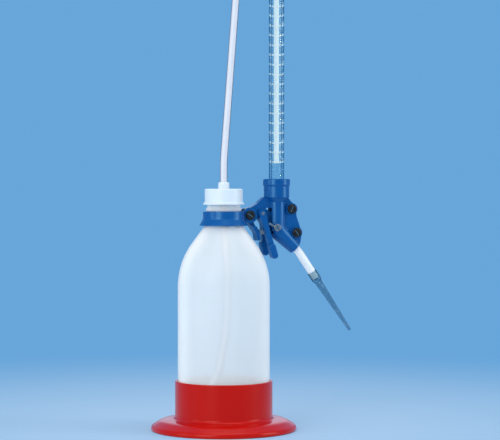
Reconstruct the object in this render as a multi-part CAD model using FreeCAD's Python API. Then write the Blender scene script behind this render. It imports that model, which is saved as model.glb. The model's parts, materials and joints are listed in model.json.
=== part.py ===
"""Automatic burette: a squeeze bottle in a red foot, a riser tube, a graduated glass
tube and a two-lever pinch clamp that a split ring holds on the bottle's neck.

Millimetres, +Z up. The origin is the centre of the foot's underside, on the bottle's axis,
and +X points from the bottle to the graduated tube. The levers hang on both sides of Y = 0.
"""
import FreeCAD
import Part
import math
import os

os.makedirs("parts", exist_ok=True)

# Clearances
running = 0.05
loose = 0.3
seated = 0.02

# Foot
foot_wall = 1.9
foot_floor = 3.0
foot_cup_height = 40.2
foot_gap = 0.4
brim_radius = 59.2
brim_root_height = 9.6
brim_edge_height = 3.6
brim_wall = 2.2

# Bottle
bottle_radius = 37.5
bottle_wall = 1.2
bottle_corner = 6.0
bottle_push_up = 2.4
shoulder_radius = 60.0
shoulder_angle = 36.0
neck_radius = 13.5
neck_start = 169.2
neck_top = 192.4
bead_radius = 14.5
bead_height = 2.7

# Screw cap, sealing washer and tube gland
cap_radius = 15.5
cap_wall = 1.5
cap_top = 196.4
cap_bottom = 183.4
cap_lip_radius = 16.7
cap_lip_height = 1.6
washer_thickness = 1.0
gland_flange = 1.0
stub_radius = 4.5
stub_height = 5.4
stub_chamfer = 0.8

# Riser: one tube from the bottle's bottom corner to the swan neck
riser_radius = 3.0
riser_bore = 2.0
riser_above_tube = 4.0
riser_top_x = 22.0

# Neck ring
ring_wall = 3.5
ring_top = 178.0
ring_bottom = 166.3
ring_foot_radius = 20.2
ring_foot_height = 5.7
ring_slit = 1.0
ear_thickness = 2.0
ear_radius = 5.2

# Graduated glass tube
tube_x = 46.0
tube_radius = 6.3
tube_bore = 4.5
tube_top = 648.0
tube_shoulder_z = 191.0
nipple_top_z = 186.8
nipple_bottom_z = 176.0
tube_zero_drop = 28.0

# Swan neck and head cap
swan_radius = 1.95
swan_bore = 1.2
swan_bend = 12.0
swan_rise = 28.0
swan_overlap = 12.0
head_wall = 1.7
head_skirt = 12.0
head_top = 5.5
vent_radius = 1.0

# Outlet hose and jet
hose_radius = 3.3
hose_bore = 2.2
hose_flat_width = 4.7
hose_end_run = 7.0
hose_free_length = 21.5
hose_overlap = 6.0
jet_socket_radius = 4.0
jet_socket_length = 9.0
jet_neck_radius = 2.9
jet_tip_radius = 1.25
jet_tip_bore = 0.45
jet_length = 60.0
jet_angle = 35.0

# Clamp housing
web_half = 3.0
boss_half = 5.4
bulge_radius = 7.3
bulge_end_radius = 5.6
channel_bend = 8.0
channel_angle = 47.0
exit_x = 62.3
exit_z = 147.8
pinch_z = 169.5
pinch_height = 2.6
pinch_blend = 3.4
spigot_radius = 9.4
collar_bottom = 189.0
collar_top = 204.7
collar_radius = 10.6
collar_bead_radius = 11.2
gasket_thickness = 1.6
notch_half = 4.4
notch_top = 180.8
notch_drop = 19.4
notch_low_x = 7.2

# Screws and nuts
screw_radius = 2.0
screw_head_radius = 3.8
screw_head_height = 2.4
screw_slot_width = 0.9
screw_slot_depth = 1.1
counterbore_depth = 1.2
nut_across_flats = 7.0
nut_thickness = 3.2
nut_recess = 2.6
ring_screw = (21.1, 174.8)
upper_screw = (57.6, 179.9)
lower_screw = (61.9, 160.4)
ring_boss_radius = 6.4
side_boss_radius = 4.8

# Levers
pivot_x = 30.8
pivot_z = 176.4
pin_radius = 1.1
pin_head_radius = 1.5
pin_head_height = 0.7
pivot_boss_radius = 4.5
lever_inner_y = 3.3
lever_depth = 5.4
lever_half_width = 2.1
lever_head_radius = 3.0
lever_bend_drop = 9.0
front_lever_bow = 0.0
back_lever_bow = 3.4
lever_pad_half_width = 2.8
lever_pad_depth = 7.4
lever_pad_length = 12.5
jaw_inner_y = 0.3
jaw_outer_y = 4.0
jaw_web_y = 1.5
trench_drop = 18.4
trench_x = 9.6
front_pad = (40.2, 145.3)
back_pad = (37.4, 147.6)

# Finger plate and springs
arm_half_depth = 4.7
arm_neck_half_depth = 2.2
spring_z = 161.4
spring_y = 2.55
spring_radius = 2.1
spring_wire = 0.3
spring_start_x = 29.2
spring_end_x = 33.9
spring_half_turns = 7
spring_stud_radius = 1.3
spring_stud_length = 1.0

# Regulating screw with its finger
regulator_x = 43.2
regulator_z = 164.7
regulator_head_radius = 3.0
regulator_head_height = 2.0
regulator_shank_radius = 1.2
regulator_boss_radius = 3.4
regulator_face_y = -7.6
finger_length = 8.0
finger_width = 1.9
finger_thickness = 0.9
finger_angle = 27.0


def point(x, z, y=0.0):
    return FreeCAD.Vector(x, y, z)


def near(place, right, up, radius=0.0):
    """Outline corner at an offset from a named place."""
    return (place[0] + right, place[1] + up, radius)


def outline(corners, closed=True):
    """Wire in the XZ plane. A corner is (x, z) or (x, z, fillet radius)."""
    places = [point(corner[0], corner[1]) for corner in corners]
    radii = [corner[2] if len(corner) > 2 else 0.0 for corner in corners]
    count = len(places)
    starts = []
    ends = []
    arcs = []
    for i, place in enumerate(places):
        inside = closed or 0 < i < count - 1
        if radii[i] <= 0 or not inside:
            starts.append(place)
            ends.append(place)
            arcs.append(None)
            continue
        back = (places[i - 1] - place).normalize()
        ahead = (places[(i + 1) % count] - place).normalize()
        half = back.getAngle(ahead) / 2
        reach = radii[i] / math.tan(half)
        middle = (back + ahead).normalize() * (radii[i] / math.sin(half) - radii[i])
        starts.append(place + back * reach)
        ends.append(place + ahead * reach)
        arcs.append(Part.Arc(starts[i], place + middle, ends[i]).toShape())
    edges = []
    for i in range(count):
        if arcs[i]:
            edges.append(arcs[i])
        if i == count - 1 and not closed:
            break
        following = starts[(i + 1) % count]
        if ends[i].distanceToPoint(following) > 1e-6:
            edges.append(Part.LineSegment(ends[i], following).toShape())
    return Part.Wire(edges)


def inset(corners, depth):
    """An open outline moved to the left of its own direction by depth, run by run."""
    lines = []
    for here, there in zip(corners, corners[1:]):
        run = math.hypot(there[0] - here[0], there[1] - here[1])
        across = (-(there[1] - here[1]) / run * depth, (there[0] - here[0]) / run * depth)
        lines.append(((here[0] + across[0], here[1] + across[1]),
                      (there[0] + across[0], there[1] + across[1])))
    moved = [lines[0][0]]
    for i in range(1, len(corners) - 1):
        (ax, az), (bx, bz) = lines[i - 1]
        (cx, cz), (dx, dz) = lines[i]
        cross = (bx - ax) * (dz - cz) - (bz - az) * (dx - cx)
        share = ((cx - ax) * (dz - cz) - (cz - az) * (dx - cx)) / cross
        radius = corners[i][2] if len(corners[i]) > 2 else 0.0
        grown = radius - depth if cross > 0 else radius + depth
        moved.append((ax + share * (bx - ax), az + share * (bz - az), max(grown, 0.0) if radius else 0.0))
    moved.append(lines[-1][1])
    return moved


def revolved(corners, x=0.0):
    """Solid of revolution about the upright axis at x. Corners are (radius, z)."""
    solid = Part.Face(outline(corners)).revolve(point(0, 0), point(0, 1), 360)
    solid.translate(point(x, 0))
    return solid


def plate(corners, low_y, high_y):
    """An XZ outline made thick from low_y to high_y."""
    face = Part.Face(outline(corners))
    face.translate(point(0, 0, low_y))
    return face.extrude(point(0, 0, high_y - low_y))


def disc(x, z, radius, low_y, high_y):
    """Cylinder along Y."""
    return Part.makeCylinder(radius, high_y - low_y, point(x, z, low_y), point(0, 0, 1))


def swept(route, radius):
    """Round bar along a route of straight runs and tangent arcs."""
    path = outline(route, closed=False)
    start = path.Edges[0].Vertexes[0].Point
    heading = path.Edges[0].tangentAt(path.Edges[0].FirstParameter)
    ring = Part.Wire(Part.makeCircle(radius, start, heading))
    return path.makePipeShell([ring], True, True)


def pipe(route, radius, bore):
    return swept(route, radius).cut(swept(route, bore))


def ellipse(x, z, half_x, half_y):
    """Level ellipse, or circle, that starts at its far side in Y."""
    curve = Part.Circle() if half_x == half_y else Part.Ellipse(point(0, 0), half_y, half_x)
    if half_x == half_y:
        curve.Radius = half_x
    wire = Part.Wire(curve.toShape())
    wire.rotate(point(0, 0), point(0, 1), 90)
    wire.translate(point(x, z))
    return wire


def mirrored(shape):
    return shape.mirror(point(0, 0), point(0, 0, 1))


def rounded(shape, edges, radius):
    """Fillet the edges that a test picks."""
    return shape.makeFillet(radius, [edge for edge in shape.Edges if edges(edge)])


def save(name, *shapes):
    """Write the solids of one node, as one solid or as a group of separate ones."""
    solids = [solid for shape in shapes for solid in shape.Solids]
    whole = solids[0] if len(solids) == 1 else Part.makeCompound(solids)
    whole.exportStep("parts/" + name + ".step")


# Places that several pieces share
pivot = (pivot_x, pivot_z)
riser_top = tube_top + riser_above_tube
swan_crown_z = riser_top + swan_rise
tube_zero_z = tube_top - tube_zero_drop
cup_radius = bottle_radius + foot_gap
foot_radius = cup_radius + foot_wall
bead_bottom = ring_top + loose
bead_top = bead_bottom + bead_height
shoulder_fall = math.tan(math.radians(shoulder_angle))
shoulder_z = neck_start - (bottle_radius - neck_radius) / shoulder_fall
ring_bore = neck_radius + running
ring_radius = ring_bore + ring_wall
channel_fall = math.tan(math.radians(channel_angle))
channel_corner_z = exit_z + (exit_x - tube_x) / channel_fall
channel_heading = (math.sin(math.radians(channel_angle)), -math.cos(math.radians(channel_angle)))
jet_heading = (math.sin(math.radians(jet_angle)), -math.cos(math.radians(jet_angle)))
channel_radius = hose_radius + 0.1
channel_wall_x = tube_x + channel_radius
hose_flat_half = hose_radius - hose_bore
hose_flat_x = channel_wall_x - running - hose_flat_half
jaw_tip_x = hose_flat_x - hose_flat_half - running
jaw_tip = (jaw_tip_x, pinch_z)
spring_seat = (spring_start_x, spring_z)
gasket_radius = tube_radius + seated + gasket_thickness
screws = (ring_screw, upper_screw, lower_screw)
hose_turn_x = exit_x + hose_end_run * channel_heading[0] * 0.5
hose_turn_z = exit_z + hose_end_run * channel_heading[1] * 0.5
jet_top_x = hose_turn_x + jet_heading[0] * hose_free_length
jet_top_z = hose_turn_z + jet_heading[1] * hose_free_length


# Foot: a cup with a turned-down brim
def make_foot():
    inner_brim = foot_radius + 0.6
    return revolved([
        (0, 0), (foot_radius - 0.8, 0), (foot_radius - 0.8, brim_root_height - brim_wall - 1.4),
        (inner_brim + 8.0, brim_root_height - brim_wall - 1.4, 10.0),
        (brim_radius - brim_wall, brim_edge_height - 0.9), (brim_radius - brim_wall, 0),
        (brim_radius, 0, 0.8), (brim_radius, brim_edge_height, 3.0),
        (inner_brim + 10.5, brim_root_height - 1.0, 12.0), (foot_radius, brim_root_height, 2.4),
        (foot_radius, foot_cup_height, 0.9), (cup_radius, foot_cup_height, 0.9),
        (cup_radius, foot_floor), (0, foot_floor)])


# Squeeze bottle
def bottle_outline():
    return [(0, foot_floor + bottle_push_up), (bottle_radius * 0.62, foot_floor + bottle_push_up, 5.0),
            (bottle_radius * 0.76, foot_floor, 3.0), (bottle_radius, foot_floor, bottle_corner),
            (bottle_radius, shoulder_z, shoulder_radius), (neck_radius, neck_start, 2.0),
            (neck_radius, neck_top)]


def make_bottle():
    outside = bottle_outline()
    inside = inset(outside, bottle_wall)
    body = revolved(outside + inside[::-1])
    neck_bore = neck_radius - bottle_wall / 2
    bead = revolved([(neck_bore, bead_bottom), (bead_radius, bead_bottom, 0.5),
                     (bead_radius, bead_top, 0.8), (neck_bore, bead_top)])
    return body.fuse(bead).removeSplitter()


# Screw cap, washer under it and the gland that the riser passes through
def make_cap():
    hole = stub_radius + running
    bore = cap_radius - cap_wall
    roof = neck_top + washer_thickness + gland_flange + 2 * seated
    return revolved([
        (hole, roof), (bore, roof, 0.8), (bore, cap_bottom), (cap_lip_radius, cap_bottom, 0.3),
        (cap_lip_radius, cap_bottom + cap_lip_height, 0.5),
        (cap_radius, cap_bottom + cap_lip_height + 0.4, 0.3),
        (cap_radius, cap_top, 1.0), (hole, cap_top)])


def make_washer():
    return revolved([
        (riser_radius + running + 1.0, neck_top + seated), (neck_radius, neck_top + seated),
        (neck_radius, neck_top + seated + washer_thickness),
        (riser_radius + running + 1.0, neck_top + seated + washer_thickness)])


def make_gland():
    bore = riser_radius + running
    low = neck_top + seated + washer_thickness
    top = cap_top + stub_height
    return revolved([
        (bore, low), (neck_radius - 0.4, low), (neck_radius - 0.4, low + gland_flange, 0.4),
        (stub_radius, low + gland_flange), (stub_radius, top - stub_chamfer),
        (stub_radius - stub_chamfer, top), (bore, top)])


# Riser: dips to the bottle's bottom corner and leans over to the swan neck
def make_riser():
    route = [(-27.0, 9.5), (-17.5, 24.0, 40.0), (-4.2, 47.0, 60.0), (2.4, 84.0, 90.0), (3.6, 128.0, 150.0),
             (0.0, 166.0, 200.0), (0.0, 219.0, 150.0), (13.2, 386.0, 1500.0), (riser_top_x, 530.0, 1500.0),
             (riser_top_x, riser_top)]
    return pipe(route, riser_radius, riser_bore)


# Swan neck: bent glass that ends at the zero mark inside the graduated tube
def make_swan_neck():
    low = riser_top - swan_overlap
    route = [(riser_top_x, low), (riser_top_x, swan_crown_z, swan_bend - seated),
             (tube_x, swan_crown_z, swan_bend - seated), (tube_x, tube_zero_z)]
    return pipe(route, swan_radius, swan_bore)


def make_head_cap():
    skirt = tube_radius + running
    outside = skirt + head_wall
    hole = swan_radius + running
    top = tube_top + head_top
    cap = revolved([
        (hole, tube_top), (skirt, tube_top), (skirt, tube_top - head_skirt),
        (outside, tube_top - head_skirt, 0.4), (outside, tube_top + 1.5, 1.2), (hole + 2.6, top, 0.6),
        (hole, top)], tube_x)
    vent_x = tube_x + hole + vent_radius + 0.5
    vent = Part.makeCylinder(vent_radius, head_top + 2, point(vent_x, tube_top - 1))
    return cap.cut(vent)


# Graduated tube with a drawn shoulder and a nipple for the hose
def make_tube():
    wall = tube_radius - tube_bore
    nipple = hose_bore - seated
    outside = [(nipple, nipple_bottom_z, 0.4), (nipple, nipple_top_z, 1.5),
               (tube_radius, tube_shoulder_z, 2.5), (tube_radius, tube_top, 0.6)]
    inside = [(tube_bore, tube_top, 0.6), (tube_bore, tube_shoulder_z + wall * 0.6, 2.0),
              (nipple * 0.5, nipple_top_z + wall * 0.7, 1.0), (nipple * 0.5, nipple_bottom_z, 0.3)]
    return revolved(outside + inside, tube_x)


def make_gasket():
    low = tube_shoulder_z + 1.2
    high = collar_top - 1.6
    return revolved([
        (tube_radius + seated, low, 0.3), (gasket_radius, low), (gasket_radius, high),
        (tube_radius + seated, high, 0.3)], tube_x)


def make_sleeve():
    bore = spigot_radius + seated
    lip = tube_radius + 0.6
    return revolved([
        (bore, collar_bottom), (collar_radius, collar_bottom, 0.5), (collar_radius, collar_top - 6.2, 0.8),
        (collar_bead_radius, collar_top - 5.2, 0.8), (collar_bead_radius, collar_top, 1.0),
        (lip, collar_top, 0.5), (lip, collar_top - 1.5), (bore, collar_top - 1.5)], tube_x)


# Hose: on the nipple, flat under the jaws, bent through the channel and down to the jet
def make_hose():
    flat_top = pinch_z + pinch_height / 2
    flat_low = pinch_z - pinch_height / 2
    top = nipple_top_z - 0.6
    round_top = flat_top + pinch_blend
    round_low = channel_corner_z + channel_bend * math.tan(math.radians(channel_angle / 2))
    upper = Part.makeCylinder(hose_radius, top - round_top, point(tube_x, round_top))
    pinched = Part.makeLoft([ellipse(tube_x, round_top, hose_radius, hose_radius),
                             ellipse(hose_flat_x, flat_top, hose_flat_half, hose_flat_width),
                             ellipse(hose_flat_x, flat_low, hose_flat_half, hose_flat_width),
                             ellipse(tube_x, round_low, hose_radius, hose_radius)], True, True)
    end = (jet_top_x + jet_heading[0] * hose_overlap, jet_top_z + jet_heading[1] * hose_overlap)
    route = [(tube_x, round_low), (tube_x, channel_corner_z, channel_bend),
             (hose_turn_x, hose_turn_z, 30.0), end]
    lower = swept(route, hose_radius).cut(swept(route, hose_bore))
    lumen = Part.makeCylinder(hose_bore, top - round_top + 1, point(tube_x, round_top))
    return upper.cut(lumen).fuse([pinched, lower])


# Jet: a socket over the hose's end, drawn out to a fine tip. Built upright, then swung down
def make_jet():
    hose_seat = hose_radius + seated
    shape = revolved([
        (jet_tip_bore, jet_length), (jet_tip_radius, jet_length, 0.3),
        (jet_neck_radius, jet_socket_length + 1.6, 1.5), (jet_socket_radius, jet_socket_length - 1.0, 1.5),
        (jet_socket_radius, 0, 0.5), (hose_seat, 0, 0.2), (hose_seat, hose_overlap + 0.3),
        (hose_bore - 0.3, hose_overlap + 1.6), (jet_tip_bore + 1.0, jet_socket_length + 6.0, 8.0)])
    shape.rotate(point(0, 0), point(0, 0, 1), 180 - jet_angle)
    shape.translate(point(jet_top_x, jet_top_z))
    return shape


# Neck ring: split, with two ears that the ring screw pulls together
def make_neck_ring():
    seat_fall = shoulder_fall
    seat_start = neck_start + 0.4
    seat_radius = ring_bore + (seat_start - ring_bottom) * seat_fall
    ring = revolved([
        (ring_bore, seat_start), (ring_bore, ring_top, 0.4), (ring_radius, ring_top, 0.5),
        (ring_radius, ring_bottom + ring_foot_height, 4.0), (ring_foot_radius, ring_bottom, 0.6),
        (seat_radius, ring_bottom)])
    half = ring_slit / 2
    x, z = ring_screw
    ears = []
    for low in (-half - ear_thickness, half):
        ear = disc(x, z, ear_radius, low, low + ear_thickness)
        root = plate([(ring_bore + 1.5, z - 3.4), (x, z - ear_radius), (x, z + ring_top - z - 0.2),
                      (ring_bore + 1.5, ring_top - 0.2)], low, low + ear_thickness)
        ears.append(ear.fuse(root))
    ring = ring.fuse(ears)
    slit = plate([(0, ring_bottom - 1), (x + 9, ring_bottom - 1), (x + 9, ring_top + 5), (0, ring_top + 5)],
                 -half, half)
    hole = disc(x, z, screw_radius + running, -web_half - 1, web_half + 1)
    inside = Part.makeCylinder(ring_bore, ring_top - ring_bottom + 2, point(0, ring_bottom - 1))
    return ring.cut(slit).cut(hole).cut(inside)


def ring_room():
    """Space that the housing leaves for the ring and its ears."""
    gap = loose
    room = revolved([
        (0, ring_bottom - 3), (ring_foot_radius + gap + 2.1, ring_bottom - 3),
        (ring_foot_radius + gap, ring_bottom), (ring_radius + gap, ring_bottom + ring_foot_height + 0.4),
        (ring_radius + gap, ring_top + gap), (0, ring_top + gap)])
    x, z = ring_screw
    depth = ring_slit / 2 + ear_thickness + running
    ears = disc(x, z, ear_radius + gap, -depth, depth)
    root = plate([(ring_bore, z - ear_radius - gap), (x, z - ear_radius - gap), (x, z + ear_radius + gap),
                  (ring_bore, z + ear_radius + gap)], -depth, depth)
    return room.fuse([ears, root])


# Clamp housing: web, channel, bosses, finger plate and spigot, then parted at Y = 0
def make_housing():
    gusset_x = tube_x - collar_radius - loose
    left_web = plate([
        near(ring_screw, -4.1, 3.4, 2.0), near(ring_screw, 0.4, 5.8, 4.0), near(pivot, -2.6, 8.2, 5.0),
        (gusset_x, collar_bottom + 2.2, 1.0), (gusset_x, collar_bottom), (tube_x, collar_bottom),
        (tube_x, notch_top - 3), (pivot_x + pivot_boss_radius, notch_top - 3),
        near(pivot, pivot_boss_radius, 0), near(pivot, 0, -pivot_boss_radius),
        near(pivot, -4.4, -pivot_boss_radius, 1.0), near(ring_screw, 3.3, -5.4),
        near(ring_screw, -4.5, -5.4)], -web_half, web_half)
    pivot_boss = disc(pivot_x, pivot_z, pivot_boss_radius, -web_half, web_half)
    right_web = plate([
        (tube_x, collar_bottom), (tube_x + spigot_radius, collar_bottom, 1.0),
        near(upper_screw, 0, 6.3, 3.0), near(upper_screw, 5.0, 1.6, 4.0),
        near(upper_screw, 4.8, -5.5, 5.0), near(lower_screw, 3.1, 6.6, 5.0),
        near(lower_screw, 5.3, 0, 5.0), near(lower_screw, 4.5, -5.9, 3.0),
        (exit_x - channel_heading[1] * bulge_end_radius * 0.95,
         exit_z + channel_heading[0] * bulge_end_radius * 0.95),
        (exit_x, exit_z), (tube_x, channel_corner_z)], -web_half, web_half)
    bend_reach = channel_bend * math.tan(math.radians(channel_angle / 2))
    cone_start = (tube_x + channel_heading[0] * bend_reach,
                  channel_corner_z + channel_heading[1] * bend_reach)
    bulge = swept([(tube_x, collar_bottom), (tube_x, channel_corner_z, channel_bend), cone_start],
                  bulge_radius)
    cone_length = math.hypot(exit_x - cone_start[0], exit_z - cone_start[1])
    cone = Part.makeCone(bulge_radius, bulge_end_radius, cone_length, point(*cone_start),
                         point(*channel_heading))
    throat = revolved([
        (0, collar_bottom - 4.0), (bulge_radius, collar_bottom - 4.0, 3.0), (spigot_radius, collar_bottom),
        (spigot_radius, collar_top - 1.6, 0.5), (0, collar_top - 1.6)], tube_x)
    bosses = [disc(ring_screw[0], ring_screw[1], ring_boss_radius, -boss_half, boss_half)]
    for x, z in (upper_screw, lower_screw):
        bosses.append(disc(x, z, side_boss_radius, -boss_half, boss_half))
    arm = plate([
        near(ring_screw, -3.6, -4.2), near(ring_screw, 0.1, -7.2, 3.0), near(spring_seat, -2.6, -0.9, 6.0),
        near(spring_seat, -1.6, -7.4, 0.8), near(spring_seat, 1.0, -7.4, 0.8),
        near(spring_seat, 0.3, -0.2, 6.0),
        near(ring_screw, 4.1, -6.2, 2.0), near(ring_screw, 4.1, -2.3)], -arm_half_depth, arm_half_depth)
    beside_neck = plate([
        near(spring_seat, -9.0, 5.6), near(spring_seat, -4.0, 4.6, 1.0), near(spring_seat, 2.0, 3.2),
        near(spring_seat, 2.0, 13.0), near(spring_seat, -13.0, 13.0)],
        arm_neck_half_depth, arm_half_depth + 1)
    arm = arm.cut(beside_neck).cut(mirrored(beside_neck))
    for y in (-spring_y, spring_y):
        spring_pocket = Part.makeCylinder(spring_radius + loose, 6,
                                          point(spring_start_x, spring_z, y), point(1, 0))
        arm = arm.cut(spring_pocket)
    studs = [Part.makeCylinder(spring_stud_radius, 1.5 + spring_stud_length,
                               point(spring_start_x - 1.5, spring_z, y), point(1, 0))
             for y in (-spring_y, spring_y)]
    knob = disc(regulator_x, regulator_z, regulator_boss_radius, regulator_face_y, 0)
    body = left_web.fuse([pivot_boss, right_web, bulge, cone, throat, knob, arm] + bosses + studs)

    burette_seat = revolved([
        (0, nipple_top_z - 1.5), (hose_radius + 0.1, nipple_top_z - 1.5),
        (tube_radius + 0.3, tube_shoulder_z - 0.4), (tube_radius + 0.3, tube_shoulder_z + 1.2),
        (gasket_radius + seated, tube_shoulder_z + 1.2), (gasket_radius + seated, collar_top),
        (0, collar_top)], tube_x)
    past_exit = (exit_x + channel_heading[0] * 3, exit_z + channel_heading[1] * 3)
    channel = swept([(tube_x, nipple_top_z), (tube_x, channel_corner_z, channel_bend), past_exit],
                    channel_radius)
    pocket_low = channel_corner_z + 1.5
    pocket = Part.makeBox(channel_wall_x - tube_x + 3, 2 * hose_flat_width + 0.6,
                          pinch_z + pinch_height / 2 + pinch_blend - pocket_low,
                          point(tube_x - 3, pocket_low, -hose_flat_width - 0.3))
    notch = plate([
        (pivot_x + pivot_boss_radius + loose, notch_top, 1.0), (tube_x, notch_top),
        (tube_x, channel_corner_z - 1.0), near(pivot, notch_low_x, -notch_drop),
        near(pivot, 3.8, -notch_drop),
        near(pivot, 3.8, -4.0), near(pivot, pivot_boss_radius + loose, 0)], -notch_half, notch_half)
    notch = notch.cut(disc(pivot_x, pivot_z, pivot_boss_radius, -web_half, web_half))
    cuts = [burette_seat, channel, pocket, notch, ring_room()]
    for x, z in screws:
        cuts.append(disc(x, z, screw_radius + running, -boss_half - 1, boss_half + 1))
        cuts.append(disc(x, z, screw_head_radius + loose, -boss_half - 1, -boss_half + counterbore_depth))
        cuts.append(hexagon(x, z, nut_across_flats + 2 * running, boss_half - nut_recess, boss_half + 1))
    cuts.append(disc(pivot_x, pivot_z, pin_radius + seated, -web_half - 1, web_half + 1))
    cuts.append(disc(regulator_x, regulator_z, regulator_shank_radius + running,
                     regulator_face_y - 1, -notch_half + 0.4))
    for cut in cuts:
        body = body.cut(cut)
    return body


def hexagon(x, z, across_flats, low_y, high_y):
    """Hexagonal bar along Y."""
    reach = across_flats / math.sqrt(3)
    corners = [(x + reach * math.cos(math.radians(60 * i)), z + reach * math.sin(math.radians(60 * i)))
               for i in range(6)]
    return plate(corners, low_y, high_y)


def largest(shape):
    return max(shape.Solids, key=lambda solid: solid.Volume)


# Slotted screws and their nuts
def make_screw(x, z, slot_angle):
    seat = -boss_half + counterbore_depth
    head_top = seat - screw_head_height
    head = disc(x, z, screw_head_radius, head_top, seat)
    head = rounded(head, lambda edge: edge.BoundBox.YMax < head_top + 0.01, 0.5)
    shank = disc(x, z, screw_radius, seat, boss_half - 0.3)
    slot = Part.makeBox(2 * screw_head_radius + 2, screw_slot_depth + 1, screw_slot_width,
                        point(x - screw_head_radius - 1, z - screw_slot_width / 2, head_top - 1))
    slot.rotate(point(x, z), point(0, 0, 1), slot_angle)
    return head.fuse(shank).cut(slot).removeSplitter()


def make_nut(x, z):
    low = boss_half - nut_recess
    nut = hexagon(x, z, nut_across_flats, low, low + nut_thickness)
    chamfer_face = revolved([
        (0, 0), (nut_across_flats / 2 + 0.1, 0), (nut_across_flats / 2 + 1.2, 0.6),
        (nut_across_flats / 2 + 1.2, nut_thickness), (0, nut_thickness)])
    chamfer_face.rotate(point(0, 0), point(1, 0), 90)
    chamfer_face.translate(point(x, z, low + nut_thickness))
    return nut.common(chamfer_face).cut(disc(x, z, screw_radius + seated, low - 1, low + nut_thickness + 1))


# Pivot pin with a low head at each end
def make_pin():
    reach = lever_inner_y + lever_depth + running
    end = reach + pin_head_height
    shank = disc(pivot_x, pivot_z, pin_radius, -end, end)
    heads = [disc(pivot_x, pivot_z, pin_head_radius, -end, -reach),
             disc(pivot_x, pivot_z, pin_head_radius, reach, end)]
    return shank.fuse(heads).removeSplitter()


# Levers: a hanging arm with a finger pad, and a jaw that reaches in to the hose
def make_lever(pad, bow, side):
    """The arm bows out by bow on its way to the pad. side is -1 in front of the web and 1 behind it."""
    fall = math.hypot(pad[0] - pivot_x, pivot_z - pad[1])
    lean = math.degrees(math.atan2(pad[0] - pivot_x, pivot_z - pad[1]))
    pad_top = -fall + lever_pad_length / 2
    pad_low = -fall - lever_pad_length / 2
    w, p, h = lever_half_width, lever_pad_half_width, lever_head_radius
    low, high = lever_inner_y, lever_inner_y + lever_depth
    arm = plate([(-h, 0), (h, 0), (bow + w, -lever_bend_drop, 8.0), (w, pad_low + 3), (-w, pad_low + 3),
                 (bow - w, -lever_bend_drop, 6.0)], low, high)
    arm = arm.fuse(disc(0, 0, h, low, high))
    pad_middle = (low + high) / 2
    pad_solid = plate([(-p, pad_low, p), (p, pad_low, p), (p, pad_top, 2.2), (-p, pad_top, 2.2)],
                      pad_middle - lever_pad_depth / 2 + 0.6, pad_middle + lever_pad_depth / 2 + 0.6)
    pad_solid = rounded(pad_solid, lambda edge: edge.BoundBox.YLength < 0.01, 1.0)
    lever = arm.fuse(pad_solid)
    lever.rotate(point(0, 0), point(0, 0, 1), -lean)
    lever.translate(point(pivot_x, pivot_z))
    tip_half = pinch_height / 2 - running
    jaw = plate([
        near(pivot, 2.6, 2.6), near(pivot, 6.4, 3.2, 1.5), near(pivot, 10.6, 0.2, 2.0),
        near(jaw_tip, -4.9, 3.6, 1.0), near(jaw_tip, 0, tip_half, 0.3), near(jaw_tip, 0, -tip_half, 0.3),
        near(jaw_tip, -4.9, -2.6, 0.8), near(jaw_tip, -6.6, -6.0, 2.0),
        (spring_end_x + 3.4, spring_z - 2.4, 1.0), (spring_end_x, spring_z - 2.4, 0.6),
        (spring_end_x, spring_z + 4.6)], jaw_inner_y, jaw_outer_y)
    trench = plate([near(pivot, 3.8, 5.6), near(pivot, trench_x, 5.6), near(pivot, trench_x, -trench_drop),
                    near(pivot, 7.6, -trench_drop)], jaw_web_y, jaw_outer_y + 1)
    jaw = jaw.cut(trench)
    web_room = disc(pivot_x, pivot_z, pivot_boss_radius + 0.4, 0, lever_inner_y)
    side_reach = pivot_boss_radius + 0.8
    web_side = plate([pivot, near(pivot, side_reach, 0), near(pivot, side_reach, 6), near(pivot, 0, 6)],
                     0, lever_inner_y)
    jaw = jaw.cut(web_room).cut(web_side)
    spring_room = Part.makeCylinder(spring_radius + loose, spring_end_x - spring_start_x,
                                    point(spring_start_x, spring_z, spring_y), point(1, 0))
    seat = disc(pivot_x, pivot_z, pin_radius + running, 0, high + 1)
    lever = lever.fuse(jaw).cut(seat).cut(spring_room).removeSplitter()
    return lever if side > 0 else mirrored(lever)


# Compression spring: round wire in half turns that lean one way and then the other
def make_spring(side):
    radius = spring_radius - spring_wire
    rise = (spring_end_x - spring_start_x - 2 * spring_wire - 4 * running) / spring_half_turns
    first_x = spring_start_x + spring_wire + 2 * running
    y = side * spring_y
    half_turns = []
    for i in range(spring_half_turns):
        way = 1 if i % 2 == 0 else -1
        start = point(first_x + i * rise, spring_z + way * radius, y)
        end = point(first_x + (i + 1) * rise, spring_z - way * radius, y)
        axis = (end - start).cross(point(0, 0, 1)) * way
        section = Part.Face(Part.Wire(Part.makeCircle(spring_wire, start, point(0, 0, 1))))
        half_turns.append(section.revolve((start + end) / 2, axis, 180))
    return half_turns[0].fuse(half_turns[1:]).removeSplitter()


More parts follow.
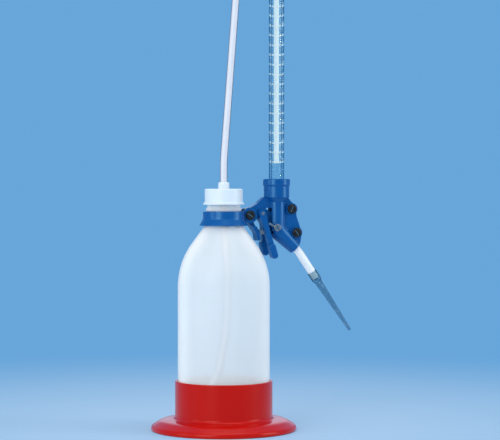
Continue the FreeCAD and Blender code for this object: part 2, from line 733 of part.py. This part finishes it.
# Regulating screw: a slotted head with a finger that leans on the front lever
def make_regulator():
    head_low = regulator_face_y - finger_thickness - regulator_head_height
    x, z = regulator_x, regulator_z
    head = disc(x, z, regulator_head_radius, head_low, regulator_face_y - finger_thickness)
    head = rounded(head, lambda edge: edge.BoundBox.YMax < head_low + 0.01, 0.4)
    shank = disc(x, z, regulator_shank_radius, regulator_face_y - finger_thickness, -notch_half - 0.4)
    half = finger_width / 2
    finger = plate([(x - finger_length, z - half, half), (x + 1, z - half), (x + 1, z + half),
                    (x - finger_length, z + half, half)],
                   regulator_face_y - finger_thickness, regulator_face_y - running)
    finger.rotate(point(x, z), point(0, 0, 1), finger_angle)
    hub = disc(x, z, regulator_head_radius - 0.2, regulator_face_y - finger_thickness,
               regulator_face_y - running)
    slot = Part.makeBox(2 * regulator_head_radius + 2, 1.9, 0.8,
                        point(x - regulator_head_radius - 1, z - 0.4, head_low - 1))
    slot.rotate(point(x, z), point(0, 0, 1), 60)
    return head.fuse([shank, finger, hub]).cut(slot).removeSplitter()


save("base_foot", make_foot())
save("bottle", make_bottle())
save("screw_cap", make_cap())
save("sealing_washer", make_washer())
save("tube_gland", make_gland())
save("riser_tube", make_riser())
save("swan_neck", make_swan_neck())
save("head_cap", make_head_cap())
save("burette_tube", make_tube())
save("tube_gasket", make_gasket())
save("collar_sleeve", make_sleeve())
save("outlet_hose", make_hose())
save("jet_tip", make_jet())
save("neck_ring", make_neck_ring())

housing = make_housing()
half_space = 2 * collar_top
front_space = Part.makeBox(half_space, half_space, 2 * half_space, point(0, 0, -half_space))
back_space = Part.makeBox(half_space, half_space, 2 * half_space, point(0, 0, 0))
save("housing_front", largest(housing.common(front_space)))
save("housing_back", largest(housing.common(back_space)))

slot_angles = (35.0, -70.0, 55.0)
for name, place, angle in zip(("ring_screw", "upper_screw", "lower_screw"), screws, slot_angles):
    save(name, make_screw(place[0], place[1], angle))
for name, place in zip(("ring_nut", "upper_nut", "lower_nut"), screws):
    save(name, make_nut(*place))

save("lever_pin", make_pin())
save("front_lever", make_lever(front_pad, front_lever_bow, -1))
save("back_lever", make_lever(back_pad, back_lever_bow, 1))
save("front_spring", make_spring(-1))
save("back_spring", make_spring(1))
save("regulator_screw", make_regulator())
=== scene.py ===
"""Looks of an automatic burette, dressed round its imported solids. Metres, +Z up."""

import json
import math

import bmesh
import bpy
from mathutils import Matrix, Vector


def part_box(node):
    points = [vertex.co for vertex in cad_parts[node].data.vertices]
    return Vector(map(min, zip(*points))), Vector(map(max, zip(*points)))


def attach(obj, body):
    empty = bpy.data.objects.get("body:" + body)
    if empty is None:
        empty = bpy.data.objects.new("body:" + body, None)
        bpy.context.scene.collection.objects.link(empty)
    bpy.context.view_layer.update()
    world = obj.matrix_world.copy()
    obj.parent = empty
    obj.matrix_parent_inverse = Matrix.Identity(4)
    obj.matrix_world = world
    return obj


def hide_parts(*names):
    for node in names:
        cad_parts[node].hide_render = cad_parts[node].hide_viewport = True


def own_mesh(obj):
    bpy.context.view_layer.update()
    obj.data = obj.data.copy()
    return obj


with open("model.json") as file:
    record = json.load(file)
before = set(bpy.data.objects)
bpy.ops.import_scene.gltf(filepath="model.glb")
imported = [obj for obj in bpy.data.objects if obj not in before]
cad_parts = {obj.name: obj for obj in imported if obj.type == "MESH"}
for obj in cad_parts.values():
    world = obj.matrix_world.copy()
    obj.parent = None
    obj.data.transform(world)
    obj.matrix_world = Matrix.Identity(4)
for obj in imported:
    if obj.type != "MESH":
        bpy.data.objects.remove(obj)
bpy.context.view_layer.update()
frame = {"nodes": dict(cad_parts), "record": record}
mm = 0.001
upright = Vector((0, 0, 1))

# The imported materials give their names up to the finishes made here
for packed in list(bpy.data.materials):
    packed.name = "packed_" + packed.name


# Camera at the photograph's viewing angle
camera_turn = math.radians(-20.0)
camera_distance = 1.42
camera_height = 0.190
aim_height = 0.171
aim_right = 0.0214
picture_width_at_object = 0.4075
film_width_mm = 36.0
farthest_seen = 20.0

toward_camera = Vector((math.sin(camera_turn), -math.cos(camera_turn), 0))
to_the_right = Vector((math.cos(camera_turn), math.sin(camera_turn), 0))


def set_camera():
    aim = to_the_right * aim_right + upright * aim_height
    data = bpy.data.cameras.new("camera")
    camera = bpy.data.objects.new("camera", data)
    bpy.context.scene.collection.objects.link(camera)
    camera.location = aim + toward_camera * camera_distance
    camera.location.z = camera_height
    camera.rotation_euler = (aim - camera.location).to_track_quat("-Z", "Y").to_euler()
    data.sensor_fit = "HORIZONTAL"
    data.sensor_width = film_width_mm
    data.lens = film_width_mm * camera_distance / picture_width_at_object
    data.clip_end = farthest_seen
    bpy.context.scene.camera = camera


set_camera()


# Shader building
def node_in(tree, kind, place, **inputs):
    """A node of a kind at a place in a tree, with plain values for its inputs."""
    node = tree.nodes.new(kind)
    node.location = place
    for name, value in inputs.items():
        node.inputs[name.replace("_", " ")].default_value = value
    return node


def new_group(name, inputs, outputs):
    """A shader group with float inputs {name: value} and outputs {name: kind}."""
    group = bpy.data.node_groups.new(name, "ShaderNodeTree")
    for label, value in inputs.items():
        socket = group.interface.new_socket(label, in_out="INPUT", socket_type="NodeSocketFloat")
        socket.default_value = value
    for label, kind in outputs.items():
        group.interface.new_socket(label, in_out="OUTPUT", socket_type="NodeSocket" + kind)
    start = group.nodes.new("NodeGroupInput")
    start.location = (-900, 0)
    end = group.nodes.new("NodeGroupOutput")
    end.location = (900, 0)
    return group, start, end


def make_moulded_group():
    """Moulded plastic: a faint orange peel, uneven polish and a soft drift in tone."""
    group, start, end = new_group(
        "moulded_surface",
        {"Peel Scale": 900.0, "Smear Scale": 60.0, "Polish Low": 0.2, "Polish High": 0.35},
        {"Roughness": "Float", "Height": "Float", "Tone": "Float"})
    link = group.links.new
    spot = node_in(group, "ShaderNodeTexCoord", (-1100, -200))
    peel = node_in(group, "ShaderNodeTexNoise", (-600, 200), Detail=2.0)
    smear = node_in(group, "ShaderNodeTexNoise", (-600, -150), Detail=4.0, Roughness=0.6)
    drift = node_in(group, "ShaderNodeTexNoise", (-600, -450), Scale=22.0, Detail=1.0)
    for noise in (peel, smear, drift):
        link(spot.outputs["Object"], noise.inputs["Vector"])
    link(start.outputs["Peel Scale"], peel.inputs["Scale"])
    link(start.outputs["Smear Scale"], smear.inputs["Scale"])
    polish = node_in(group, "ShaderNodeMapRange", (0, -100))
    link(smear.outputs["Fac"], polish.inputs["Value"])
    link(start.outputs["Polish Low"], polish.inputs["To Min"])
    link(start.outputs["Polish High"], polish.inputs["To Max"])
    link(polish.outputs["Result"], end.inputs["Roughness"])
    link(peel.outputs["Fac"], end.inputs["Height"])
    link(drift.outputs["Fac"], end.inputs["Tone"])
    return group


def make_dust_group():
    """Dust and handling marks: sparse pale specks where two noises meet."""
    group, start, end = new_group(
        "handling_marks", {"Speck Scale": 700.0, "Amount": 0.5}, {"Mask": "Float"})
    link = group.links.new
    spot = node_in(group, "ShaderNodeTexCoord", (-1100, -200))
    speck = node_in(group, "ShaderNodeTexVoronoi", (-600, 200))
    patch = node_in(group, "ShaderNodeTexNoise", (-600, -150), Scale=45.0, Detail=3.0)
    link(spot.outputs["Object"], speck.inputs["Vector"])
    link(spot.outputs["Object"], patch.inputs["Vector"])
    link(start.outputs["Speck Scale"], speck.inputs["Scale"])
    near = node_in(group, "ShaderNodeMapRange", (-300, 200), From_Min=0.16, From_Max=0.05)
    link(speck.outputs["Distance"], near.inputs["Value"])
    here = node_in(group, "ShaderNodeMapRange", (-300, -150), From_Min=0.5, From_Max=0.75)
    link(patch.outputs["Fac"], here.inputs["Value"])
    both = node_in(group, "ShaderNodeMath", (0, 0))
    both.operation = "MULTIPLY"
    link(near.outputs["Result"], both.inputs[0])
    link(here.outputs["Result"], both.inputs[1])
    share = node_in(group, "ShaderNodeMath", (250, 0))
    share.operation = "MULTIPLY"
    link(both.outputs["Value"], share.inputs[0])
    link(start.outputs["Amount"], share.inputs[1])
    link(share.outputs["Value"], end.inputs["Mask"])
    return group


moulded_surface = make_moulded_group()
handling_marks = make_dust_group()
dust_grey = (0.75, 0.75, 0.74)

# Sockets of a Mix node that mixes colours
mix_share = 0
mix_first = 6
mix_second = 7
mix_result = 2


def placed_group(tree, group, place, **inputs):
    """A shader group placed in a material, with its own values."""
    node = tree.nodes.new("ShaderNodeGroup")
    node.node_tree = group
    node.location = place
    for name, value in inputs.items():
        node.inputs[name.replace("_", " ")].default_value = value
    return node


def colour_mix(tree, place, first, second):
    """A Mix node between two colours."""
    node = node_in(tree, "ShaderNodeMix", place)
    node.data_type = "RGBA"
    node.inputs[mix_first].default_value = (*first, 1)
    node.inputs[mix_second].default_value = (*second, 1)
    return node


def plain(name, **settings):
    """A material with one Principled shader and its settings."""
    material = bpy.data.materials.new(name)
    material.use_nodes = True
    shader = material.node_tree.nodes["Principled BSDF"]
    for label, value in settings.items():
        shader.inputs[label.replace("_", " ")].default_value = value
    return material, material.node_tree, shader


def moulded(name, deep, bright, polish, peel_scale=900.0, bump=0.00002, dust=0.1, **settings):
    """Moulded plastic between two tones, with polish = (glossiest, dullest)."""
    material, tree, shader = plain(name, **settings)
    link = tree.links.new
    surface = placed_group(tree, moulded_surface, (-900, 0), Peel_Scale=peel_scale,
                           Polish_Low=polish[0], Polish_High=polish[1])
    marks = placed_group(tree, handling_marks, (-900, 350), Amount=dust)
    tone = colour_mix(tree, (-600, 200), deep, bright)
    link(surface.outputs["Tone"], tone.inputs[mix_share])
    dusty = colour_mix(tree, (-350, 300), bright, dust_grey)
    link(marks.outputs["Mask"], dusty.inputs[mix_share])
    link(tone.outputs[mix_result], dusty.inputs[mix_first])
    link(dusty.outputs[mix_result], shader.inputs["Base Color"])
    link(surface.outputs["Roughness"], shader.inputs["Roughness"])
    relief = node_in(tree, "ShaderNodeBump", (-350, -250), Strength=1.0, Distance=bump)
    link(surface.outputs["Height"], relief.inputs["Height"])
    link(relief.outputs["Normal"], shader.inputs["Normal"])
    return material


# Finishes: the deeper and the brighter tone, then the glossiest and the dullest polish
foot_red = moulded("foot_red", (0.46, 0.004, 0.002), (0.56, 0.006, 0.003), (0.16, 0.28), dust=0.05,
                   Specular_IOR_Level=0.35, Specular_Tint=(1.0, 0.5, 0.4, 1))
clamp_blue = moulded("clamp_blue", (0.001, 0.062, 0.25), (0.001, 0.088, 0.32), (0.22, 0.34), dust=0.05,
                     Specular_IOR_Level=0.75, Specular_Tint=(0.35, 0.8, 1.0, 1))
bottle_translucent = moulded("bottle_translucent", (0.96, 0.965, 0.96), (0.985, 0.99, 0.985), (0.32, 0.42),
                             peel_scale=260.0, bump=0.00006, dust=0.05)
cap_white = moulded("cap_white", (0.68, 0.77, 0.84), (0.74, 0.82, 0.88), (0.3, 0.42),
                    Subsurface_Weight=0.1, Subsurface_Scale=0.002)
tube_white = moulded("tube_white", (0.74, 0.75, 0.82), (0.80, 0.81, 0.87), (0.28, 0.4), dust=0.0)
hose_white = moulded("hose_white", (0.82, 0.86, 0.90), (0.88, 0.91, 0.94), (0.3, 0.42),
                     bump=0.00001, dust=0.0)
head_white = moulded("head_white", (0.80, 0.83, 0.86), (0.85, 0.88, 0.90), (0.28, 0.4))
seal_grey = moulded("seal_grey", (0.42, 0.43, 0.44), (0.52, 0.53, 0.54), (0.55, 0.7), bump=0.00003)
scale_white = moulded("scale_white", (0.95, 0.96, 0.97), (0.98, 0.98, 0.99), (0.35, 0.45), dust=0.0)

# How far a clear wall turns from the eye before its painted edge shade begins, and where it is full
edge_begins = 0.22
edge_full = 0.7


def clear_walls(material, tint, edge_shade, centre_share, edge_share, passes_light):
    """Lets a wall be seen through. Where it faces the eye, the surface keeps centre_share and what
    is behind takes tint. Where it turns away, these are edge_share and the edge colour, a painted shade
    that darkens what is seen as the wall turns from the eye. For the lamps' light, passes_light is how
    far the surface and the painted edge shade are left out."""
    tree = material.node_tree
    link = tree.links.new
    shader = tree.nodes["Principled BSDF"]
    turned = node_in(tree, "ShaderNodeLayerWeight", (-800, 700), Blend=0.5)
    ray = node_in(tree, "ShaderNodeLightPath", (-800, 1000))
    kept = node_in(tree, "ShaderNodeMath", (-600, 900))
    kept.operation = "MULTIPLY_ADD"
    kept.inputs[1].default_value = -passes_light
    kept.inputs[2].default_value = 1.0
    link(ray.outputs["Is Shadow Ray"], kept.inputs[0])
    steep = node_in(tree, "ShaderNodeMapRange", (-600, 700), From_Min=edge_begins, From_Max=edge_full)
    steep.interpolation_type = "SMOOTHSTEP"
    link(turned.outputs["Facing"], steep.inputs["Value"])
    deep = node_in(tree, "ShaderNodeMath", (-400, 800))
    deep.operation = "MULTIPLY"
    link(steep.outputs["Result"], deep.inputs[0])
    link(kept.outputs["Value"], deep.inputs[1])
    # The edge colour is painted shade, mixed in as the wall turns from the eye
    colour = colour_mix(tree, (-200, 500), tint, edge_shade)
    link(deep.outputs["Value"], colour.inputs[mix_share])
    clear = node_in(tree, "ShaderNodeBsdfTransparent", (0, 500))
    link(colour.outputs[mix_result], clear.inputs["Color"])
    share = node_in(tree, "ShaderNodeMapRange", (-200, 800), To_Min=centre_share, To_Max=edge_share)
    link(steep.outputs["Result"], share.inputs["Value"])
    shown = node_in(tree, "ShaderNodeMath", (0, 800))
    shown.operation = "MULTIPLY"
    link(share.outputs["Result"], shown.inputs[0])
    link(kept.outputs["Value"], shown.inputs[1])
    mix = node_in(tree, "ShaderNodeMixShader", (350, 400))
    link(shown.outputs["Value"], mix.inputs["Fac"])
    link(clear.outputs["BSDF"], mix.inputs[1])
    link(shader.outputs["BSDF"], mix.inputs[2])
    link(mix.outputs["Shader"], tree.nodes["Material Output"].inputs["Surface"])
    return material


def glass(name, body):
    """Polished glass or clear plastic."""
    material, tree, shader = plain(name, Transmission_Weight=1.0, IOR=1.47, Base_Color=(*body, 1))
    surface = placed_group(tree, moulded_surface, (-600, 0), Polish_Low=0.0, Polish_High=0.04)
    tree.links.new(surface.outputs["Roughness"], shader.inputs["Roughness"])
    return material


# The edge colours below are painted shade at each clear wall's edges
clear_glass = clear_walls(
    glass("clear_glass", (0.75, 0.88, 0.92)), tint=(0.955, 0.980, 0.978), edge_shade=(0.28, 0.52, 0.64),
    centre_share=0.04, edge_share=0.12, passes_light=1.0)
jet_grey = clear_walls(
    glass("jet_grey", (0.36, 0.50, 0.56)), tint=(0.80, 0.86, 0.88), edge_shade=(0.16, 0.34, 0.44),
    centre_share=0.16, edge_share=0.2, passes_light=1.0)
clear_walls(
    tube_white, tint=(0.90, 0.94, 0.96), edge_shade=(0.22, 0.29, 0.36),
    centre_share=0.9, edge_share=0.14, passes_light=0.0)
clear_walls(
    bottle_translucent, tint=(0.95, 0.97, 0.98), edge_shade=(0.86, 0.93, 0.97),
    centre_share=0.38, edge_share=0.75, passes_light=0.4)


def metal(name, deep, bright, polish, tool_marks):
    """Metal between two tones. The tool marks are a fine relief of that depth."""
    material, tree, shader = plain(name, Metallic=1.0)
    link = tree.links.new
    surface = placed_group(tree, moulded_surface, (-900, 0), Smear_Scale=420.0,
                           Polish_Low=polish[0], Polish_High=polish[1])
    patch = node_in(tree, "ShaderNodeTexNoise", (-900, 350), Scale=380.0, Detail=5.0)
    spot = node_in(tree, "ShaderNodeTexCoord", (-1100, 350))
    link(spot.outputs["Object"], patch.inputs["Vector"])
    tone = colour_mix(tree, (-500, 200), deep, bright)
    link(patch.outputs["Fac"], tone.inputs[mix_share])
    link(tone.outputs[mix_result], shader.inputs["Base Color"])
    link(surface.outputs["Roughness"], shader.inputs["Roughness"])
    relief = node_in(tree, "ShaderNodeBump", (-350, -250), Strength=1.0, Distance=tool_marks)
    link(patch.outputs["Fac"], relief.inputs["Height"])
    link(relief.outputs["Normal"], shader.inputs["Normal"])
    return material


screw_dark = metal("screw_dark", (0.006, 0.005, 0.006), (0.17, 0.115, 0.085), (0.2, 0.38),
                   tool_marks=0.00001)
# Bright worn metal for the slots' floors, its brightness partly a painted glint
slot_wear_and_glint = metal("slot_wear_and_glint", (0.30, 0.20, 0.14), (0.80, 0.70, 0.62), (0.15, 0.3),
                    tool_marks=0.000006)
spring_steel = metal("spring_steel", (0.55, 0.56, 0.58), (0.75, 0.75, 0.76), (0.15, 0.3),
                     tool_marks=0.000004)
nickel = metal("nickel", (0.22, 0.15, 0.13), (0.72, 0.66, 0.64), (0.2, 0.35),
               tool_marks=0.000006)
finishes = {
    material.name: material
    for material in (foot_red, clamp_blue, bottle_translucent, cap_white, tube_white, hose_white, head_white,
                     seal_grey, jet_grey, clear_glass, screw_dark, spring_steel, nickel)}


def dress_solids():
    """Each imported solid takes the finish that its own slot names."""
    for row in frame["record"]["subparts"]:
        thing = frame["nodes"][row["node"]]
        material = finishes[row["material_slot"]]
        if not thing.material_slots:
            thing.data.materials.append(material)
        for place in thing.material_slots:
            place.material = material


# Pieces that the solids don't have
weld_distance = 0.0001 * mm
sharpest_smooth_turn = math.radians(35)


def piece_from(mesh, name, material, body):
    """A finished piece from a bmesh, riding on a body, with smooth sides."""
    bmesh.ops.remove_doubles(mesh, verts=mesh.verts, dist=weld_distance)
    bmesh.ops.recalc_face_normals(mesh, faces=mesh.faces)
    data = bpy.data.meshes.new(name)
    mesh.to_mesh(data)
    mesh.free()
    thing = bpy.data.objects.new(name, data)
    bpy.context.scene.collection.objects.link(thing)
    data.materials.append(material)
    data.shade_smooth()
    data.set_sharp_from_angle(angle=sharpest_smooth_turn)
    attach(thing, body)
    return thing


# Springs: the share of its length that each keeps at its lever's limit
wire_radius = 0.3 * mm
coil_turns = 4.5
closed_turns = 0.75
closed_share = 0.1
steps_per_turn = 26
wire_facets = 10


def coil_spring(name, node, side):
    """Compression spring, spun from a round section, with closely wound ends."""
    low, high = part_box(node)
    centre = (low + high) / 2
    radius = (high.z - low.z) / 2 - wire_radius
    length = high.x - low.x - 2 * wire_radius
    mesh = bmesh.new()
    start = Vector((low.x + wire_radius, centre.y, centre.z + radius))
    ring = bmesh.ops.create_circle(
        mesh, segments=wire_facets, radius=wire_radius,
        matrix=Matrix.Translation(start) @ Matrix.Rotation(side * math.pi / 2, 4, "X"))
    mesh.faces.new(ring["verts"])
    section = list(mesh.verts) + list(mesh.edges) + list(mesh.faces)
    closed_end = (closed_turns, closed_share)
    open_middle = (coil_turns - 2 * closed_turns, 1 - 2 * closed_share)
    for turns, share_of_length in (closed_end, open_middle, closed_end):
        steps = int(steps_per_turn * turns)
        done = bmesh.ops.spin(
            mesh, geom=section, cent=centre, axis=(1, 0, 0), angle=2 * math.pi * turns,
            steps=steps, dvec=(length * share_of_length / steps, 0, 0), use_merge=False,
            use_duplicate=False)
        section = done["geom_last"]
    thing = piece_from(mesh, name, spring_steel, "stand")
    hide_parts(node)
    return thing


def make_springs():
    for side, word in ((-1, "front"), (1, "back")):
        coil = coil_spring(word + "_coil", word + "_spring", side)
        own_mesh(coil)


# Worn metal on the floor of each screw's slot, made bright to paint the slot's glint as well, turned as the
# slot is, in degrees
slot_turns = {"ring_screw": 35.0, "upper_screw": -70.0, "lower_screw": 55.0}
slot_half_length = 2.9 * mm
slot_half_width = 0.38 * mm
slot_floor = 1.1 * mm
slot_strip_depth = 0.6 * mm
slot_strip_round = 0.12 * mm


def make_slot_wear_and_glint():
    """A rounded bright strip on each slot's floor, where the driver has rubbed; part of its brightness is a
    painted glint.
    """
    for node, turn in slot_turns.items():
        low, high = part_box(node)
        middle = (low + high) / 2
        mesh = bmesh.new()
        bmesh.ops.create_cube(mesh, size=1.0)
        bmesh.ops.scale(mesh, vec=(2 * slot_half_length, slot_strip_depth, 2 * slot_half_width),
                        verts=mesh.verts)
        bmesh.ops.bevel(mesh, geom=list(mesh.edges), offset=slot_strip_round, segments=3, profile=0.5,
                        affect="EDGES", material=-1)
        bmesh.ops.rotate(mesh, cent=(0, 0, 0), matrix=Matrix.Rotation(math.radians(turn), 3, "Y"),
                         verts=mesh.verts)
        floor_y = low.y + slot_floor
        bmesh.ops.translate(mesh, vec=(middle.x, floor_y - slot_strip_depth / 2, middle.z), verts=mesh.verts)
        piece_from(mesh, node + "_slot_wear_and_glint", slot_wear_and_glint, "stand")


# Scale on the glass tube: ring marks round the back, numbers beside them
tube_low, tube_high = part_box("burette_tube")
tube_axis = Vector(((tube_low.x + tube_high.x) / 2, 0, 0))
glass_radius = 6.3 * mm
scale_low = 218.4 * mm
scale_step = 8.04 * mm
scale_marks = 51
paint = 0.06 * mm
mark_radius = glass_radius - 0.14 * mm
mark_height = 1.4 * mm
mark_half_angle = math.radians(104)
mark_lean = 0.12
fine_per_mark = 5
fine_mark_height = 0.24 * mm
fine_mark_half_angle = math.radians(11)
fine_mark_turn = math.radians(38)
stripe_radius = glass_radius - 0.9 * mm
stripe_depth = 0.3 * mm
stripe_half_angle = math.radians(22)
stripe_overrun = 0.8 * mm
number_size = 2.6 * mm
number_turn = math.radians(64)
back_angle = math.atan2(toward_camera.y, toward_camera.x) + math.pi


def arc_on_tube(mesh, z, height, depth, radius, half_angle, middle, steps):
    """A band on the tube: an upright section spun through twice half_angle about the axis."""
    out = Vector((math.cos(middle - half_angle), math.sin(middle - half_angle), 0))
    corners = [tube_axis + out * radius + upright * z,
               tube_axis + out * (radius + depth) + upright * z,
               tube_axis + out * (radius + depth) + upright * (z + height),
               tube_axis + out * radius + upright * (z + height)]
    verts = [mesh.verts.new(corner) for corner in corners]
    face = mesh.faces.new(verts)
    bmesh.ops.spin(mesh, geom=[face] + list(face.edges) + verts, cent=tube_axis, axis=upright,
                   angle=2 * half_angle, steps=steps, use_merge=False, use_duplicate=False)


def lean_marks(mesh):
    """The rings dip a little at the back, so that they curve as seen through the glass."""
    dip = Matrix.Identity(4)
    dip[2][0] = mark_lean * toward_camera.x
    dip[2][1] = mark_lean * toward_camera.y
    dip[2][3] = mark_lean * (glass_radius - tube_axis.dot(toward_camera))
    bmesh.ops.transform(mesh, matrix=dip, verts=mesh.verts)


def make_ring_marks():
    """Marks every half millilitre, from side to side round the back."""
    mesh = bmesh.new()
    for i in range(scale_marks):
        z = scale_low + i * scale_step - mark_height / 2
        arc_on_tube(mesh, z, mark_height, paint, mark_radius, mark_half_angle, back_angle, steps=36)
    lean_marks(mesh)
    piece_from(mesh, "ring_marks", scale_white, "stand")


def make_fine_marks():
    """Short marks every tenth of a millilitre, beside the stripe."""
    mesh = bmesh.new()
    for i in range((scale_marks - 1) * fine_per_mark):
        if i % fine_per_mark:
            z = scale_low + i * scale_step / fine_per_mark - fine_mark_height / 2
            arc_on_tube(mesh, z, fine_mark_height, paint, mark_radius, fine_mark_half_angle,
                        back_angle - fine_mark_turn, steps=4)
    lean_marks(mesh)
    piece_from(mesh, "fine_marks", scale_white, "stand")


def make_stripe():
    """The white stripe down the back of the glass."""
    mesh = bmesh.new()
    height = (scale_marks - 1) * scale_step + 2 * stripe_overrun
    arc_on_tube(mesh, scale_low - stripe_overrun, height, stripe_depth, stripe_radius,
                stripe_half_angle, back_angle, steps=10)
    piece_from(mesh, "white_stripe", scale_white, "stand")


def make_numbers():
    """Numbers from 0 at the top, each beside its own ring mark, bent round the glass."""
    whole = bmesh.new()
    for i in range(0, scale_marks, 2):
        curve = bpy.data.curves.new("number", "FONT")
        curve.body = str((scale_marks - 1 - i) // 2)
        curve.size = number_size
        curve.extrude = paint / 2
        curve.align_x = "CENTER"
        curve.resolution_u = 2
        thing = bpy.data.objects.new("number", curve)
        bpy.context.scene.collection.objects.link(thing)
        bpy.context.view_layer.update()
        flat = bpy.data.meshes.new_from_object(thing)
        bpy.data.objects.remove(thing)
        start = len(whole.verts)
        whole.from_mesh(flat)
        whole.verts.ensure_lookup_table()
        for vert in whole.verts[start:]:
            angle = back_angle - number_turn + vert.co.x / mark_radius
            out = Vector((math.cos(angle), math.sin(angle), 0))
            height = scale_low + i * scale_step + mark_height + vert.co.y
            vert.co = tube_axis + out * (mark_radius + paint / 2 + vert.co.z) + upright * height
    piece_from(whole, "scale_numbers", scale_white, "stand")


# Floor, backdrop and light
backdrop_blue = (0.14, 0.38, 0.70)
floor_blue = (0.50, 0.68, 0.86)
floor_radius = 8.0
floor_fades_from = 0.05
floor_fades_to = 0.75
least_backdrop_share = 0.35
room_colour = (0.9, 0.95, 1.0)
room_strength = 0.5
lamps_aim = Vector((0, 0, 0.25))


def backdrop_rays(tree):
    """1 for rays that show the backdrop: the camera's, and those through glass or off gloss."""
    ray = node_in(tree, "ShaderNodeLightPath", (-700, 0))
    direct = node_in(tree, "ShaderNodeMath", (-500, 0))
    direct.operation = "MAXIMUM"
    seen = node_in(tree, "ShaderNodeMath", (-300, 0))
    seen.operation = "MAXIMUM"
    tree.links.new(ray.outputs["Is Camera Ray"], direct.inputs[0])
    tree.links.new(ray.outputs["Is Transmission Ray"], direct.inputs[1])
    tree.links.new(direct.outputs["Value"], seen.inputs[0])
    tree.links.new(ray.outputs["Is Glossy Ray"], seen.inputs[1])
    return seen


def make_stage():
    """A pale floor that keeps the object's shadow near it and fades into the backdrop."""
    mesh = bmesh.new()
    bmesh.ops.create_circle(mesh, cap_ends=True, segments=96, radius=floor_radius)
    data = bpy.data.meshes.new("floor")
    mesh.to_mesh(data)
    mesh.free()
    floor = bpy.data.objects.new("floor", data)
    bpy.context.scene.collection.objects.link(floor)
    material, tree, shader = plain("floor_pale", Roughness=0.8, Base_Color=(*floor_blue, 1))
    link = tree.links.new
    spot = node_in(tree, "ShaderNodeTexCoord", (-900, 300))
    away = node_in(tree, "ShaderNodeVectorMath", (-700, 300))
    away.operation = "LENGTH"
    link(spot.outputs["Object"], away.inputs[0])
    fade = node_in(tree, "ShaderNodeMapRange", (-500, 300), From_Min=floor_fades_from,
                   From_Max=floor_fades_to, To_Min=least_backdrop_share)
    fade.interpolation_type = "SMOOTHSTEP"
    link(away.outputs["Value"], fade.inputs["Value"])
    seen = backdrop_rays(tree)
    share = node_in(tree, "ShaderNodeMath", (-100, 200))
    share.operation = "MULTIPLY"
    link(fade.outputs["Result"], share.inputs[0])
    link(seen.outputs["Value"], share.inputs[1])
    glow = node_in(tree, "ShaderNodeEmission", (-100, -200), Color=(*backdrop_blue, 1))
    mix = node_in(tree, "ShaderNodeMixShader", (350, 200))
    link(share.outputs["Value"], mix.inputs["Fac"])
    link(shader.outputs["BSDF"], mix.inputs[1])
    link(glow.outputs["Emission"], mix.inputs[2])
    link(mix.outputs["Shader"], tree.nodes["Material Output"].inputs["Surface"])
    data.materials.append(material)


def make_room():
    """Even light from all round, with the backdrop's blue where it is seen."""
    world = bpy.data.worlds.new("studio")
    bpy.context.scene.world = world
    world.use_nodes = True
    tree = world.node_tree
    link = tree.links.new
    light = tree.nodes["Background"]
    light.inputs["Color"].default_value = (*room_colour, 1)
    light.inputs["Strength"].default_value = room_strength
    backdrop = node_in(tree, "ShaderNodeBackground", (0, -200), Color=(*backdrop_blue, 1))
    seen = backdrop_rays(tree)
    mix = node_in(tree, "ShaderNodeMixShader", (250, 0))
    link(seen.outputs["Value"], mix.inputs["Fac"])
    link(light.outputs["Background"], mix.inputs[1])
    link(backdrop.outputs["Background"], mix.inputs[2])
    link(mix.outputs["Shader"], tree.nodes["World Output"].inputs["Surface"])


def make_lamps():
    """Soft boxes: place in metres, power in watts, width and height."""
    lamps = {
        "left_box": (-1.0, -0.9, 0.6, 9.0, 0.7, 1.2),
        "left_rim": (-1.3, -0.1, 0.45, 3.0, 0.5, 1.2),
        "right_box": (1.25, -0.75, 0.6, 7.5, 0.6, 1.2),
        "back_box": (0.5, 1.4, 0.7, 2.0, 0.8, 1.2),
        "top_box": (0.1, -0.2, 1.7, 9.0, 1.2, 1.2)}
    for name, (x, y, z, power, width, height) in lamps.items():
        data = bpy.data.lights.new(name, "AREA")
        data.shape = "RECTANGLE"
        data.size = width
        data.size_y = height
        data.energy = power
        lamp = bpy.data.objects.new(name, data)
        lamp.visible_transmission = False
        bpy.context.scene.collection.objects.link(lamp)
        lamp.location = (x, y, z)
        lamp.rotation_euler = (lamps_aim - lamp.location).to_track_quat("-Z", "Y").to_euler()


dress_solids()
make_springs()
make_slot_wear_and_glint()
make_ring_marks()
make_fine_marks()
make_stripe()
make_numbers()
make_stage()
make_room()
make_lamps()
bpy.context.scene.view_settings.view_transform = "Standard"
